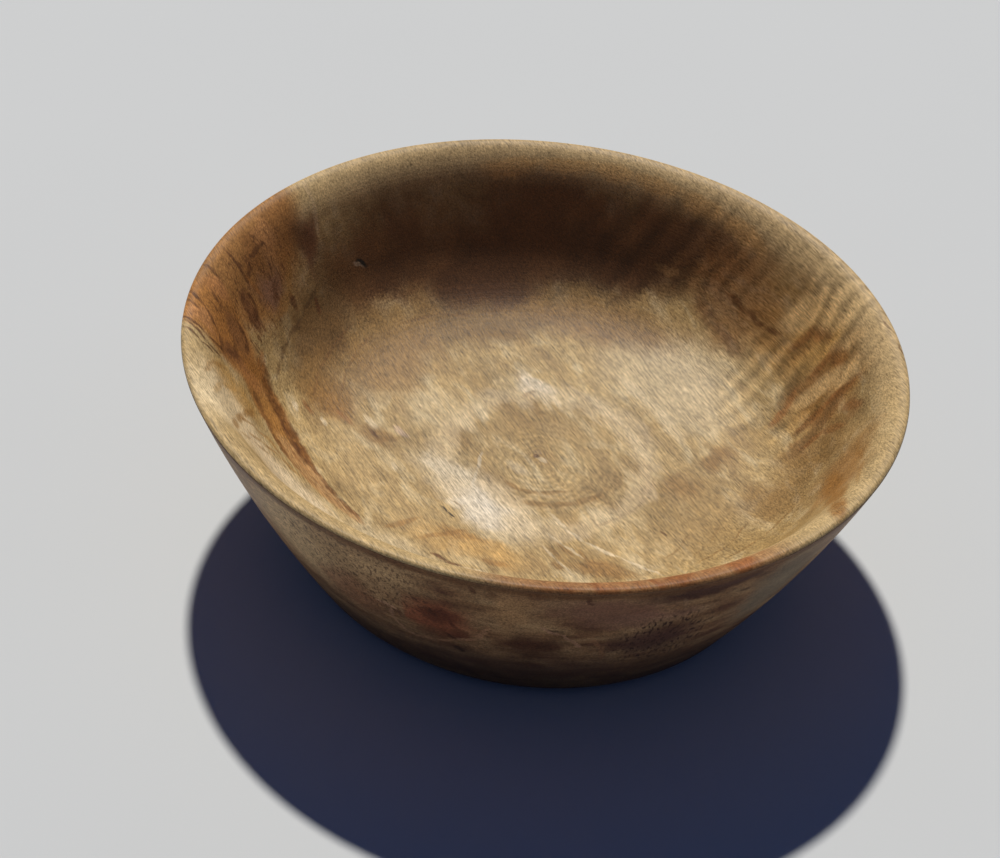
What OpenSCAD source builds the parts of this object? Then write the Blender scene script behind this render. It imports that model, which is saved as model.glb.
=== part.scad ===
// Wooden bead spinner: a turned bowl that spins on a low base hidden in the
// recess of its foot. Millimetres, +Z up, origin on the table under the centre.
// +X is the long way of the bowl, which is slightly oval.

/* [Bowl] */
// Mean diameter across the rim
rim_d = 130; // [124:1:140]
// Share by which the long way across is more than the mean
oval = 0.036; // [0:0.002:0.05]
// Height of the rim above the table
rim_h = 48.5; // [47:0.5:56]
// Mean diameter across the foot
foot_d = 86; // [84:1:94]
// Gap between the foot and the table
foot_gap = 1.5; // [1.2:0.1:1.8]
// How far the outer wall bulges past a straight cone
wall_bulge = 1.3; // [0:0.1:2.2]
// Thickness of the wall at the lip
lip_t = 4.1; // [3.4:0.1:4.8]
// Radius of the lip's outer edge
lip_edge = 0.8; // [0.5:0.1:1.2]
// Height over which the lip rolls in to the inner wall
roll_h = 5; // [4:0.5:6]
// Thickness of the wall where it would meet the dish floor
wall_t = 8.2; // [7:0.1:9.4]
// Depth of the dish at its centre
dish_depth = 27.3; // [25:0.1:27.5]
// Rise of the dish floor from its centre to its edge
dish_rise = 2.5; // [1.5:0.1:3.5]
// Height of the curve between the dish floor and the wall
corner_h = 8; // [6:0.5:9]
// Reach of that curve across the dish floor
corner_w = 12; // [8:0.5:15]

/* [Base] */
// Diameter of the base disc
base_d = 68; // [60:1:69]
// Radial gap between the base disc and the recess wall
base_gap = 3; // [2:0.1:3.4]
// Thickness of the non-slip pad
pad_t = 1.5; // [1.2:0.1:1.8]
// Wood under the bearing, round the screw well
well_h = 3.5; // [3.5:0.1:4]

/* [Bearing] */
// Bore of the ball bearing
bearing_bore = 8; // [7.6:0.1:8.4]
// Outer diameter of the ball bearing
bearing_d = 22; // [21.6:0.1:22.4]
// Width of the ball bearing
bearing_w = 7; // [6.8:0.1:7.2]
// Diameter of one ball
ball_d = 3.969; // [3.9:0.001:4]
// Number of balls
ball_count = 7; // [6:1:7]

/* [Spindle] */
// Diameter of the spindle's flange
flange_d = 36; // [34:1:40]
// Thickness of the spindle's flange
flange_t = 2; // [1.8:0.1:2.2]
// Thickness of the spacer washer
spacer_t = 1.8; // [1.7:0.1:2]
// Thickness of the retaining washer
washer_t = 0.8; // [0.6:0.1:0.8]

/* [Fasteners] */
// Number of screws that hold the flange in the bowl
flange_screw_count = 4; // [3:1:6]
// Number of screws that hold the bearing retainer
retainer_screw_count = 3; // [3:1:6]
// Length of a wood screw under its flush head
wood_screw_l = 5.8; // [5:0.1:6]
// Thickness of the bearing retainer
retainer_t = 1.2; // [1:0.1:1.2]

/* [Hidden] */
$fn = 96;

// Fits
slip = 0.05;          // round piece in its seat
wood_slip = 0.2;      // metal piece let into wood
race_slip = 0.02;     // ball and raceway
cage_slip = 0.09;     // ball and cage pocket
eps = 0.01;           // cutters run past the face they cut

// Stack of heights, from the table up
pocket_z = pad_t + well_h;
base_top = pocket_z + bearing_w;
flange_z = base_top + spacer_t;
flange_top = flange_z + flange_t;
flange_proud = 0.5;
recess_top = flange_z + flange_proud;
bearing_mid = pocket_z + bearing_w / 2;

// Bowl
rim_r = rim_d / 2;
foot_r = foot_d / 2;
lip_z = rim_h - lip_edge;
recess_r = base_d / 2 + base_gap;
foot_round = 1;
recess_chamfer = 0.8;
dish_z = rim_h - dish_depth;
turn_n = 80;          // facets round the oval
wall_n = 9;           // steps up the outer wall
roll_n = 6;           // steps round the rolled lip
inner_n = 4;          // steps down the inner wall
corner_n = 9;         // steps round the corner
floor_n = 5;          // steps across the dish floor

// Bearing
pitch_r = (bearing_bore + bearing_d) / 4;
ball_r = ball_d / 2;
track_r = ball_r * 1.04;
track_shift = track_r - ball_r - race_slip;
shoulder = 0.53;
inner_race_r = pitch_r - ball_r + shoulder;
outer_race_r = pitch_r + ball_r - shoulder;
shield_t = 0.3;
shield_inset = 0.35;
shield_r = outer_race_r + 0.6;
shield_gap = 0.3;
race_chamfer = 0.3;
cage_t = 0.35;
cage_gap = 0.35;
cage_in = inner_race_r + cage_gap;
cage_out = outer_race_r - cage_gap;
rivet_r = 0.4;
rivet_head_r = 0.65;
rivet_head_t = 0.22;

// Fasteners
wood_screw_r = 1.4;
wood_head_r = 2.5;
wood_head_h = 1.2;
wood_point_h = 1.2;
thread_depth = 0.35;
wood_pitch = 0.8;
flange_screw_at = flange_d * 0.36;
retainer_screw_at = bearing_d / 2 + 3.2;
retainer_r = retainer_screw_at + 3.2;
retainer_lap = 0.9;
bolt_r = 2;
bolt_pitch = 0.7;
bolt_l = 6.6;
bolt_end = 0.4;       // bevelled end of the thread
bolt_thread_depth = 0.38;
bolt_head_r = 3.8;
bolt_head_h = 2;
socket_af = 2.5;
socket_depth = 1.2;
washer_r = inner_race_r - 0.05;
well_r = outer_race_r + 0.1;
journal_short = 0.6;  // journal ends above the washer, so the race is clamped
pad_inset = 1;

// ---- Curves of the bowl ----

// Mean radius of the outer wall at height z
function outer_r(z) =
    let (t = (z - foot_gap) / (lip_z - foot_gap))
    foot_r + (rim_r - foot_r) * t + 4 * wall_bulge * t * (1 - t);

// Thickness of the wall at height z
function thick(z) =
    let (t = (z - dish_z) / (lip_z - dish_z))
    wall_t + (lip_t - wall_t) * t;

function inner_r(z) = outer_r(z) - thick(z);

corner_z = dish_z + dish_rise;
corner_r = inner_r(corner_z);
function floor_z(r) = dish_z + dish_rise * pow(r / corner_r, 2);
function bend(a, b, c, t) = a * pow(1 - t, 2) + b * 2 * t * (1 - t) + c * t * t;

bend_top = corner_z + corner_h;
bend_in = corner_r - corner_w;
roll_z = rim_h - roll_h;

foot_edge = [for (a = [-90:30:-30])
    [foot_r - foot_round + foot_round * cos(a), foot_gap + foot_round + foot_round * sin(a)]];
outer_wall = [for (i = [0:wall_n])
    let (z = foot_gap + foot_round + (lip_z - foot_gap - foot_round) * i / wall_n)
    [outer_r(z), z]];
outer_edge = [for (a = [22.5:22.5:90])
    [rim_r - lip_edge + lip_edge * cos(a), lip_z + lip_edge * sin(a)]];
roll = [for (i = [1:roll_n])
    bend([rim_r - lip_edge, rim_h], [inner_r(rim_h), rim_h], [inner_r(roll_z), roll_z], i / roll_n)];
inner_wall = [for (i = [1:inner_n - 1])
    let (z = roll_z + (bend_top - roll_z) * i / inner_n)
    [inner_r(z), z]];
corner = [for (i = [0:corner_n])
    bend([inner_r(bend_top), bend_top], [corner_r, corner_z], [bend_in, floor_z(bend_in)], i / corner_n)];
dish_floor = [for (i = [1:floor_n - 1])
    let (r = bend_in * (1 - i / floor_n))
    [r, floor_z(r)]];
bowl_profile = concat(foot_edge, outer_wall, outer_edge, roll, inner_wall, corner, dish_floor);

// Solid turned from a profile that runs from the foot, over the lip, to the
// middle of the dish, and that is stretched a little along X
module oval_turning(profile, middle_z) {
    rings = len(profile);
    points = concat(
        [for (p = profile) for (j = [0:turn_n - 1])
            let (a = 360 * j / turn_n, r = p[0] * (1 + oval * cos(2 * a)))
            [r * cos(a), r * sin(a), p[1]]],
        [[0, 0, middle_z]]);
    middle = rings * turn_n;
    function at(i, j) = i * turn_n + j % turn_n;
    sides = [for (i = [0:rings - 2]) for (j = [0:turn_n - 1]) each
        [[at(i, j), at(i + 1, j), at(i + 1, j + 1)],
         [at(i, j), at(i + 1, j + 1), at(i, j + 1)]]];
    top = [for (j = [0:turn_n - 1]) [at(rings - 1, j), middle, at(rings - 1, j + 1)]];
    bottom = [[for (j = [0:turn_n - 1]) j]];
    polyhedron(points, concat(sides, top, bottom));
}

// ---- Shared shapes ----

// Copies round the spindle
module ring_of(count, at, turn = 0) {
    for (i = [0:count - 1])
        rotate([0, 0, turn + 360 * i / count])
            translate([at, 0, 0]) children();
}

// Tube between two heights
module tube(r_out, r_in, z_low, z_high) {
    difference() {
        translate([0, 0, z_low]) cylinder(r = r_out, h = z_high - z_low);
        translate([0, 0, z_low - eps]) cylinder(r = r_in, h = z_high - z_low + 2 * eps);
    }
}

// Thread over a length l as a half outline that runs down from y = 0
function thread_outline(r, depth, pitch, l) =
    [for (i = [0:floor(l / pitch) - 1]) each
        [[r - depth, -i * pitch - pitch * 0.15], [r, -i * pitch - pitch * 0.5],
         [r - depth, -i * pitch - pitch * 0.85]]];

// Countersunk wood screw: flush top of the head at z = 0, point downwards
module wood_screw() {
    l = wood_screw_l;
    rotate_extrude()
        polygon(concat(
            [[0, 0], [wood_head_r, 0], [wood_screw_r - thread_depth, -wood_head_h]],
            [for (p = thread_outline(wood_screw_r, thread_depth, wood_pitch,
                    l - wood_head_h - wood_point_h)) [p[0], p[1] - wood_head_h]],
            [[wood_screw_r - thread_depth, -l + wood_point_h], [0, -l]]));
}

// Cross slot that is cut in the head of a wood screw
module cross_slot() {
    for (a = [0, 90])
        rotate([0, 0, a]) translate([-1.3, -0.25, -0.8]) cube([2.6, 0.5, 0.8 + eps]);
}

module slotted_screw() {
    difference() {
        wood_screw();
        cross_slot();
    }
}

// Countersunk hole in sheet metal, its wide end up at z = 0
module countersink(t) {
    sink_r = wood_head_r + slip;
    hole_r = wood_screw_r + slip;
    rotate_extrude()
        polygon([[0, eps], [sink_r, eps], [sink_r, 0],
            [hole_r, -wood_head_h * (sink_r - hole_r) / (wood_head_r - wood_screw_r + thread_depth)],
            [hole_r, -t - eps], [0, -t - eps]]);
}

// Pilot hole in wood for the part of the screw that is past the metal
module pilot(metal_t) {
    translate([0, 0, -wood_screw_l - slip])
        cylinder(r = wood_screw_r + slip, h = wood_screw_l + slip - metal_t + eps);
}

// Outline of one raceway: a round track cut in a ring's edge
module track() {
    translate([pitch_r, bearing_mid]) circle(r = track_r);
}

// ---- Pieces that spin with the bowl ----

module bowl() {
    color("burlywood") difference() {
        oval_turning(bowl_profile, dish_z);
        // recess that the base stands in
        rotate_extrude()
            polygon([[0, 0], [recess_r + recess_chamfer, 0],
                [recess_r + recess_chamfer, foot_gap], [recess_r, foot_gap + recess_chamfer],
                [recess_r, recess_top], [0, recess_top]]);
        // seat of the flange
        translate([0, 0, recess_top - eps])
            cylinder(r = flange_d / 2 + wood_slip, h = flange_top - recess_top + eps);
        ring_of(flange_screw_count, flange_screw_at, 45)
            translate([0, 0, flange_z]) mirror([0, 0, 1]) pilot(flange_t);
    }
}

// Flange and journal, turned in one piece
module spindle() {
    journal_r = bearing_bore / 2 - slip;
    journal_end = pocket_z + journal_short;
    color("silver") difference() {
        rotate_extrude()
            polygon([[0, journal_end], [journal_r - 0.4, journal_end], [journal_r, journal_end + 0.4],
                [journal_r, flange_z], [flange_d / 2 - 0.3, flange_z], [flange_d / 2, flange_z + 0.3],
                [flange_d / 2, flange_top], [0, flange_top]]);
        translate([0, 0, journal_end - eps])
            cylinder(r = bolt_r + slip, h = bolt_l);
        ring_of(flange_screw_count, flange_screw_at, 45)
            translate([0, 0, flange_z]) mirror([0, 0, 1]) countersink(flange_t);
    }
}

module flange_screws() {
    color("goldenrod") ring_of(flange_screw_count, flange_screw_at, 45)
        translate([0, 0, flange_z]) mirror([0, 0, 1]) slotted_screw();
}

module spacer_washer() {
    color("gainsboro") tube(inner_race_r - 0.25, bearing_bore / 2, base_top, flange_z);
}

module bearing_inner_race() {
    bore_r = bearing_bore / 2;
    color("lightsteelblue") rotate_extrude() difference() {
        polygon([[bore_r + race_chamfer, pocket_z], [inner_race_r, pocket_z],
            [inner_race_r, base_top], [bore_r + race_chamfer, base_top],
            [bore_r, base_top - race_chamfer], [bore_r, pocket_z + race_chamfer]]);
        translate([track_shift, 0]) track();
    }
}

module retaining_washer() {
    color("gainsboro") tube(washer_r, bolt_r + 0.15, pocket_z - washer_t, pocket_z);
}

// Button-head machine screw with a hexagon socket, from below
module retaining_screw() {
    head_z = pocket_z - washer_t;
    dome = bolt_head_h * 0.75;
    color("dimgray") difference() {
        translate([0, 0, head_z]) mirror([0, 0, 1]) rotate_extrude()
            polygon(concat(
                [[0, bolt_head_h]],
                [for (a = [60:-20:0]) [1.8 + (bolt_head_r - 1.8) * cos(a),
                    bolt_head_h - dome + dome * sin(a) / sin(60)]],
                [[bolt_head_r, 0], [bolt_r - bolt_thread_depth, 0]],
                thread_outline(bolt_r, bolt_thread_depth, bolt_pitch, bolt_l - bolt_end),
                [[bolt_r - bolt_thread_depth, -bolt_l + bolt_end],
                 [bolt_r - bolt_thread_depth - bolt_end, -bolt_l], [0, -bolt_l]]));
        translate([0, 0, head_z - bolt_head_h - eps])
            cylinder(d = socket_af / cos(30), h = socket_depth, $fn = 6);
    }
}

// ---- Pieces that go round with the balls ----

module bearing_balls() {
    color("white") ring_of(ball_count, pitch_r)
        translate([0, 0, bearing_mid]) sphere(r = ball_r);
}

// Pressed half of the cage: flat between the balls, cupped over each ball
module cage_half() {
    pocket_r = ball_r + cage_slip;
    difference() {
        intersection() {
            union() {
                cylinder(r = cage_out, h = cage_t);
                ring_of(ball_count, pitch_r) difference() {
                    sphere(r = pocket_r + cage_t);
                    translate([-ball_d, -ball_d, -2 * ball_d]) cube(2 * ball_d);
                }
            }
            tube(cage_out, cage_in, 0, ball_d);
        }
        ring_of(ball_count, pitch_r) sphere(r = pocket_r);
        ring_of(ball_count, pitch_r, 180 / ball_count)
            translate([0, 0, -eps]) cylinder(r = rivet_r + slip, h = cage_t + 2 * eps);
    }
}

module cage_upper_half() {
    color("darkkhaki") translate([0, 0, bearing_mid]) cage_half();
}

module cage_lower_half() {
    color("darkkhaki") translate([0, 0, bearing_mid]) mirror([0, 0, 1]) cage_half();
}

module cage_rivets() {
    head_z = cage_t + rivet_head_t;
    color("silver") ring_of(ball_count, pitch_r, 180 / ball_count)
        translate([0, 0, bearing_mid]) rotate_extrude()
            polygon([[0, -head_z], [rivet_head_r, -cage_t], [rivet_r, -cage_t],
                [rivet_r, cage_t], [rivet_head_r, cage_t], [0, head_z]]);
}

// ---- Pieces that stay still on the table ----

module base_disc() {
    r = base_d / 2;
    edge = 1.2;
    color("peru") difference() {
        rotate_extrude() polygon(concat(
            [[0, pad_t], [r - 0.5, pad_t], [r, pad_t + 0.5]],
            [for (a = [0:22.5:90]) [r - edge + edge * cos(a), base_top - edge + edge * sin(a)]],
            [[0, base_top]]));
        translate([0, 0, pocket_z]) cylinder(r = bearing_d / 2, h = bearing_w + eps);
        translate([0, 0, pad_t - eps]) cylinder(r = well_r, h = well_h + 2 * eps);
        ring_of(retainer_screw_count, retainer_screw_at)
            translate([0, 0, base_top + retainer_t]) pilot(retainer_t);
    }
}

module bearing_outer_race() {
    r = bearing_d / 2;
    seat_h = shield_inset + shield_t;
    color("lightsteelblue") rotate_extrude() difference() {
        polygon([[shield_r, pocket_z], [r - race_chamfer, pocket_z], [r, pocket_z + race_chamfer],
            [r, base_top - race_chamfer], [r - race_chamfer, base_top], [shield_r, base_top],
            [shield_r, base_top - seat_h], [outer_race_r, base_top - seat_h],
            [outer_race_r, pocket_z + seat_h], [shield_r, pocket_z + seat_h]]);
        translate([-track_shift, 0]) track();
    }
}

// Pressed sheet ring, dished a little so that its inner lip stands out
module shield() {
    lip_in = inner_race_r + shield_gap;
    rotate_extrude() polygon([[lip_in, 0.1], [lip_in + 0.8, 0.1], [lip_in + 1, 0],
        [shield_r, 0], [shield_r, shield_t], [lip_in + 1, shield_t],
        [lip_in + 0.8, shield_t + 0.1], [lip_in, shield_t + 0.1]]);
}

module bearing_shield_upper() {
    color("silver") translate([0, 0, base_top - shield_inset - shield_t]) shield();
}

module bearing_shield_lower() {
    color("silver") translate([0, 0, pocket_z + shield_inset + shield_t])
        mirror([0, 0, 1]) shield();
}

module bearing_retainer() {
    color("silver") difference() {
        tube(retainer_r, bearing_d / 2 - retainer_lap, base_top, base_top + retainer_t);
        ring_of(retainer_screw_count, retainer_screw_at)
            translate([0, 0, base_top + retainer_t]) countersink(retainer_t);
    }
}

module retainer_screws() {
    color("goldenrod") ring_of(retainer_screw_count, retainer_screw_at)
        translate([0, 0, base_top + retainer_t]) slotted_screw();
}

module non_slip_pad() {
    color("dimgray") cylinder(r = base_d / 2 - pad_inset, h = pad_t);
}

bowl();
spindle();
flange_screws();
spacer_washer();
bearing_inner_race();
retaining_washer();
retaining_screw();
bearing_balls();
cage_upper_half();
cage_lower_half();
cage_rivets();
base_disc();
bearing_outer_race();
bearing_shield_upper();
bearing_shield_lower();
bearing_retainer();
retainer_screws();
non_slip_pad();
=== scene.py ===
"""Looks of the wooden bead spinner: an oiled bowl of figured maple that spins
on a low base hidden in the recess of its foot. Lengths in the bowl's own maths
are millimetres, as in the CAD; meshes and the scene are in metres."""
import math
import bpy
from mathutils import Matrix, Vector, noise


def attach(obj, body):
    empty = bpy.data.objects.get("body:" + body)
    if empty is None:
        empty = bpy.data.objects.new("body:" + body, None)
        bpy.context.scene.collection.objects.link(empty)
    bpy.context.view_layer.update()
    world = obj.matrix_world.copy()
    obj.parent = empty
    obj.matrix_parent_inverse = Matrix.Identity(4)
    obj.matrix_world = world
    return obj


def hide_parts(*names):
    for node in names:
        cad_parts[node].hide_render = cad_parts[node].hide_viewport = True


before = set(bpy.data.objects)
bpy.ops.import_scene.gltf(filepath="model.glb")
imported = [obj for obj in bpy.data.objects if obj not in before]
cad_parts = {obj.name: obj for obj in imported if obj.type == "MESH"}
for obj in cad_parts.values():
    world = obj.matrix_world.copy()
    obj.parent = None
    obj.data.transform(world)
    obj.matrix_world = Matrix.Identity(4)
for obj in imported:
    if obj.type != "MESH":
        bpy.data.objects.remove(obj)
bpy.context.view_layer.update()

MM = 0.001


# ---- Camera and key light ----

LENS_MM, SENSOR_MM = 108, 36
CAMERA_AT = (0.14544, -0.39369, 0.40201)
CAMERA_RIGHT = (0.91158, 0.40741, 0.05512)
CAMERA_UP = (-0.30971, 0.59235, 0.74377)
CAMERA_BACK = (0.27037, -0.69508, 0.66616)


def place_camera():
    """Camera at the photograph's viewing angle, 0.4 m above the table."""
    lens = bpy.data.cameras.new("camera")
    lens.lens = LENS_MM
    lens.sensor_width = SENSOR_MM
    lens.clip_start = 0.01
    camera = bpy.data.objects.new("camera", lens)
    bpy.context.scene.collection.objects.link(camera)
    turned = Matrix((CAMERA_RIGHT, CAMERA_UP, CAMERA_BACK)).transposed().to_4x4()
    camera.matrix_world = Matrix.Translation(CAMERA_AT) @ turned
    bpy.context.scene.camera = camera


FLOOR_SIZE = 8
FLOOR_GREY = (0.622, 0.617, 0.580)       # linear, a little warm
BACKDROP_GREY = (0.61, 0.61, 0.61)
KEY_SHARE = 0.95                 # share of the floor's light that comes from the key
KEY_FROM = Vector((-0.2827, 0.4891, 1.0))
KEY_AWAY, KEY_SIZE = 12.0, 0.55  # metres: small and far, so shadows keep a clear edge
FILL_TINT = (0.45, 0.80, 2.20)   # open sky, as in the blue of the shadow


def place_key_light():
    """Round lamp high up behind the bowl, as bright as its share on the floor asks."""
    toward = KEY_FROM.normalized()
    lamp = bpy.data.lights.new("key", "AREA")
    lamp.shape = "DISK"
    lamp.size = KEY_SIZE
    lamp.energy = KEY_SHARE * math.pi ** 2 * KEY_AWAY ** 2 / toward.z
    key = bpy.data.objects.new("key", lamp)
    bpy.context.scene.collection.objects.link(key)
    key.location = toward * KEY_AWAY
    key.rotation_euler = toward.to_track_quat("Z", "Y").to_euler()


# ---- Shader maths ----

class Field:
    """A number that varies over a surface. Sums on it add Math nodes."""

    def __init__(self, tree, socket):
        self.tree = tree
        self.socket = socket

    def __add__(self, other):
        return self.tree.sum("ADD", self, other)

    def __sub__(self, other):
        return self.tree.sum("SUBTRACT", self, other)

    def __rsub__(self, other):
        return self.tree.sum("SUBTRACT", other, self)

    def __mul__(self, other):
        return self.tree.sum("MULTIPLY", self, other)

    def __truediv__(self, other):
        return self.tree.sum("DIVIDE", self, other)

    __radd__ = __add__
    __rmul__ = __mul__


def plug(sockets, name):
    """The socket with that name, or with that inner name where several share one."""
    for socket in sockets:
        if name in (socket.identifier, socket.name):
            return socket
    raise KeyError(name)


class NodeTree:
    """The nodes of a material or of the world."""

    def __init__(self, tree):
        self.tree = tree
        self.tree.nodes.clear()

    def node(self, kind, settings=(), **sockets):
        """Adds a node: settings first, then the values or links of its sockets."""
        node = self.tree.nodes.new(kind)
        for name, value in dict(settings).items():
            if name == "stops":
                row = node.color_ramp.elements
                row.remove(row[-1])
                row[0].position = value[0][0]
                for at, colour in value[1:]:
                    row.new(at)
                for stop, (at, colour) in zip(row, value):
                    stop.color = (*colour, 1)
            else:
                setattr(node, name, value)
        for name, value in sockets.items():
            self.feed(plug(node.inputs, name), value)
        return node

    def feed(self, socket, value):
        """Links a field or socket, or sets a number, vector or colour."""
        if isinstance(value, Field):
            value = value.socket
        if isinstance(value, bpy.types.NodeSocket):
            self.tree.links.new(value, socket)
        elif isinstance(value, tuple) and socket.type == "RGBA":
            socket.default_value = (*value, 1)
        else:
            socket.default_value = value

    def sum(self, operation, a, b=0.0):
        """Two numbers put together by a Math node."""
        node = self.node("ShaderNodeMath", {"operation": operation})
        for socket, value in zip(node.inputs, (a, b)):
            self.feed(socket, value)
        return Field(self, node.outputs[0])


class Finish(NodeTree):
    """One material and the nodes that paint it. Lengths are millimetres."""

    def __init__(self, name, rough, metallic=0.0, specular=0.5):
        self.material = bpy.data.materials.new(name)
        self.material.use_nodes = True
        super().__init__(self.material.node_tree)
        self.shader = self.node("ShaderNodeBsdfPrincipled")
        self.shader.inputs["Roughness"].default_value = rough
        self.shader.inputs["Metallic"].default_value = metallic
        self.shader.inputs["Specular IOR Level"].default_value = specular
        self.node("ShaderNodeOutputMaterial", Surface=self.shader.outputs["BSDF"])
        place = self.node("ShaderNodeTexCoord").outputs["Object"]
        self.place = self.move("SCALE", place, Scale=1 / MM)
        self.x, self.y, self.z = self.split(self.place)

    def move(self, operation, a, b=None, **sockets):
        """A vector worked out with Vector Math."""
        node = self.node("ShaderNodeVectorMath", {"operation": operation}, **sockets)
        self.feed(node.inputs[0], a)
        if b is not None:
            self.feed(node.inputs[1], b)
        return node.outputs["Vector"]

    def split(self, vector):
        node = self.node("ShaderNodeSeparateXYZ", Vector=vector)
        return [Field(self, socket) for socket in node.outputs]

    def join(self, x, y, z=0.0):
        return self.node("ShaderNodeCombineXYZ", X=x, Y=y, Z=z).outputs["Vector"]

    def most(self, a, b):
        return self.sum("MAXIMUM", a, b)

    def distance(self, a, b):
        """Length of the vector with those two parts."""
        return self.sum("SQRT", a * a + b * b)

    def azimuth(self):
        """Degrees round the middle, from +X towards +Y."""
        return self.sum("ARCTAN2", self.y, self.x) * math.degrees(1)

    def ease(self, value, low, high, to_low=0.0, to_high=1.0):
        """A smooth step from to_low at low to to_high at high."""
        if low > high:
            low, high, to_low, to_high = high, low, to_high, to_low
        node = self.node("ShaderNodeMapRange", {"interpolation_type": "SMOOTHSTEP",
                                                "clamp": False}, Value=value)
        for name, number in zip(("From Min", "From Max", "To Min", "To Max"),
                                (low, high, to_low, to_high)):
            plug(node.inputs, name).default_value = number
        return Field(self, node.outputs["Result"])

    def noise(self, at, size=1.0, detail=2.0, roughness=0.5, distortion=0.0):
        """Cloudy noise, about 0.5 on average, with lumps of that size."""
        node = self.node("ShaderNodeTexNoise", Vector=at, Scale=1 / size, Detail=detail,
                         Roughness=roughness, Distortion=distortion)
        return Field(self, plug(node.outputs, "Fac"))

    def drift(self, at, size, reach, detail=2.0):
        """Coordinates that wander by up to about reach, in lumps of that size."""
        node = self.node("ShaderNodeTexNoise", Vector=at, Scale=1 / size, Detail=detail)
        wander = self.move("SUBTRACT", node.outputs["Color"], (0.5, 0.5, 0.5))
        return self.move("ADD", at, self.move("SCALE", wander, Scale=2.0 * reach))

    def dots(self, at, spacing, radius):
        """Small round marks, about spacing apart."""
        node = self.node("ShaderNodeTexVoronoi", Vector=at, Scale=1 / spacing)
        return self.ease(Field(self, node.outputs["Distance"]), radius / spacing, 0)

    def stretched(self, at, along, across, third, turn=0.0):
        """Coordinates turned by turn degrees about Z and scaled on each axis."""
        node = self.node("ShaderNodeMapping", {"vector_type": "TEXTURE"}, Vector=at,
                         Rotation=(0, 0, math.radians(turn)), Scale=(along, across, third))
        return node.outputs["Vector"]

    def patch(self, at, centre, size, turn=0.0, edge=1.0, share=1.0):
        """An oval mark: share in the middle, 0 at its rim, soft over a part edge of it."""
        local = self.node("ShaderNodeMapping", {"vector_type": "TEXTURE"}, Vector=at,
                          Location=(*centre, 0), Rotation=(0, 0, math.radians(turn)),
                          Scale=(*size, 1)).outputs["Vector"]
        ball = self.node("ShaderNodeTexGradient", {"gradient_type": "SPHERICAL"}, Vector=local)
        return self.ease(Field(self, ball.outputs["Fac"]), 0, edge, 0, share)

    def line(self, at, points, width, share):
        """A drawn line of that half width through the points."""
        drawn = None
        for (x0, y0), (x1, y1) in zip(points, points[1:]):
            half = math.hypot(x1 - x0, y1 - y0) / 2
            stroke = self.patch(at, ((x0 + x1) / 2, (y0 + y1) / 2), (half * 1.2 + width, width),
                                math.degrees(math.atan2(y1 - y0, x1 - x0)), 0.6, share)
            drawn = stroke if drawn is None else self.most(drawn, stroke)
        return drawn

    def paint(self, under, over, share):
        """One colour over another."""
        node = self.node("ShaderNodeMix", {"data_type": "RGBA"}, Factor_Float=share,
                         A_Color=under, B_Color=over)
        return plug(node.outputs, "Result_Color")

    def shade(self, colour, level):
        """A colour made darker or paler by a number round 1."""
        return self.move("SCALE", colour, Scale=level)

    def ramp(self, value, *stops):
        """Colours along a number. Each stop is (place, colour)."""
        return self.node("ShaderNodeValToRGB", {"stops": stops}, Fac=value).outputs["Color"]

    def finish(self, colour, rough=None, bumps=()):
        """Feeds the shader. Each bump is (height, depth in mm)."""
        self.feed(self.shader.inputs["Base Color"], colour)
        if rough is not None:
            self.feed(self.shader.inputs["Roughness"], rough)
        normal = None
        for height, depth in bumps:
            bump = self.node("ShaderNodeBump", Height=height, Strength=1.0, Distance=depth * MM)
            if normal is not None:
                self.feed(bump.inputs["Normal"], normal)
            normal = bump.outputs["Normal"]
        if normal is not None:
            self.feed(self.shader.inputs["Normal"], normal)
        return self.material


def place_studio():
    """Pale floor, pale backdrop behind everything, key light and a weak blue fill."""
    bpy.ops.mesh.primitive_plane_add(size=FLOOR_SIZE)
    floor = bpy.context.object
    floor.name = "floor"
    card = Finish("pale_floor", rough=0.9, specular=0.1)
    mottle = card.noise(card.place, 100)
    floor.data.materials.append(card.finish(card.ramp(
        mottle, (0.3, tuple(0.985 * c for c in FLOOR_GREY)), (0.7, FLOOR_GREY))))

    world = bpy.data.worlds.new("studio")
    bpy.context.scene.world = world
    world.use_nodes = True
    sky = NodeTree(world.node_tree)
    rays = sky.node("ShaderNodeLightPath").outputs
    fill = sky.node("ShaderNodeBackground", Color=FILL_TINT, Strength=1 - KEY_SHARE)
    card = sky.node("ShaderNodeBackground", Color=BACKDROP_GREY)
    seen = sky.sum("MAXIMUM", rays["Is Camera Ray"], rays["Is Glossy Ray"])
    seen = sky.sum("MAXIMUM", seen, rays["Is Transmission Ray"])
    mix = sky.node("ShaderNodeMixShader", Fac=seen)
    sky.feed(mix.inputs[1], fill.outputs[0])
    sky.feed(mix.inputs[2], card.outputs[0])
    sky.node("ShaderNodeOutputWorld", Surface=mix.outputs[0])
    place_key_light()
    bpy.context.scene.view_settings.view_transform = "Standard"


# ---- Bowl ----

OVAL = 0.036
RIM_R, RIM_H = 65.0, 48.5
FOOT_R, FOOT_GAP = 43.0, 1.5
BULGE = 1.3
LIP_T, WALL_T = 4.1, 8.2
LIP_EDGE, ROLL_H = 0.8, 5.0
LIP_Z = RIM_H - LIP_EDGE
DISH_Z, DISH_RISE = 21.2, 2.5
CORNER_H, CORNER_W = 8.0, 12.0
RECESS_R, RECESS_TOP = 37.0, 14.3
SEAT_R, SEAT_TOP = 18.2, 15.8
CHAMFER, FOOT_ROUND = 0.8, 1.0
AROUND = 384             # faces round the bowl
UNEVEN = 0.16            # how far the hand-turned lip dips or draws in
UNEVEN_FROM = 30.0       # height from which the wall is uneven


def outer_r(z):
    """Radius of the outer wall at height z, before the oval."""
    t = (z - FOOT_GAP) / (LIP_Z - FOOT_GAP)
    return FOOT_R + (RIM_R - FOOT_R) * t + 4 * BULGE * t * (1 - t)


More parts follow.
